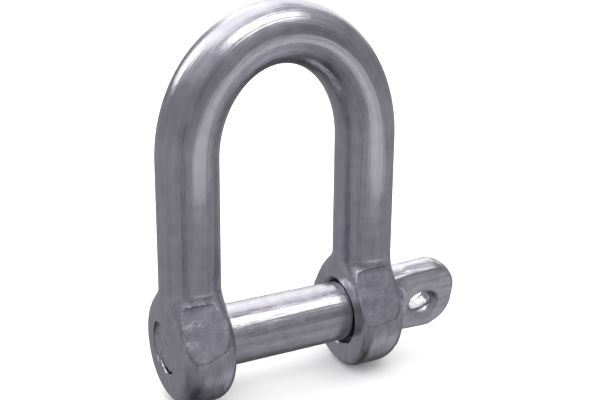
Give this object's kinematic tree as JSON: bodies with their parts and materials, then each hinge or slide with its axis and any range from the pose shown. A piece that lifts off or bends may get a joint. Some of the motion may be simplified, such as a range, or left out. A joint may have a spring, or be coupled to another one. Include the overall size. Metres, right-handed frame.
{
  "type": "screw pin shackle",
  "caption": "Stainless D shackle: a bent round bar with two ears, closed by a removable screw pin with a flat eyed head.",
  "frame": {"origin": "on the pin's axis, midway between the two ears", "axes": "+X along the pin towards its head, +Z from the pin to the crown, Y through the flat of the shackle"},
  "size_m": [0.0546, 0.0192, 0.063],
  "materials": {
    "polished_bar": "forged bar, polished, with faint buffing marks",
    "turned_pin": "turned and polished, with fine rings along the shank"
  },
  "bodies": {
    "shackle": {"shackle_body": "polished_bar"},
    "pin": {"screw_pin": "turned_pin"}
  },
  "joints": [
    {"name": "pin_slide", "type": "slide", "parent": "shackle", "child": "pin", "axis": [1, 0, 0], "range_m": [0, 0.045]}
  ]
}
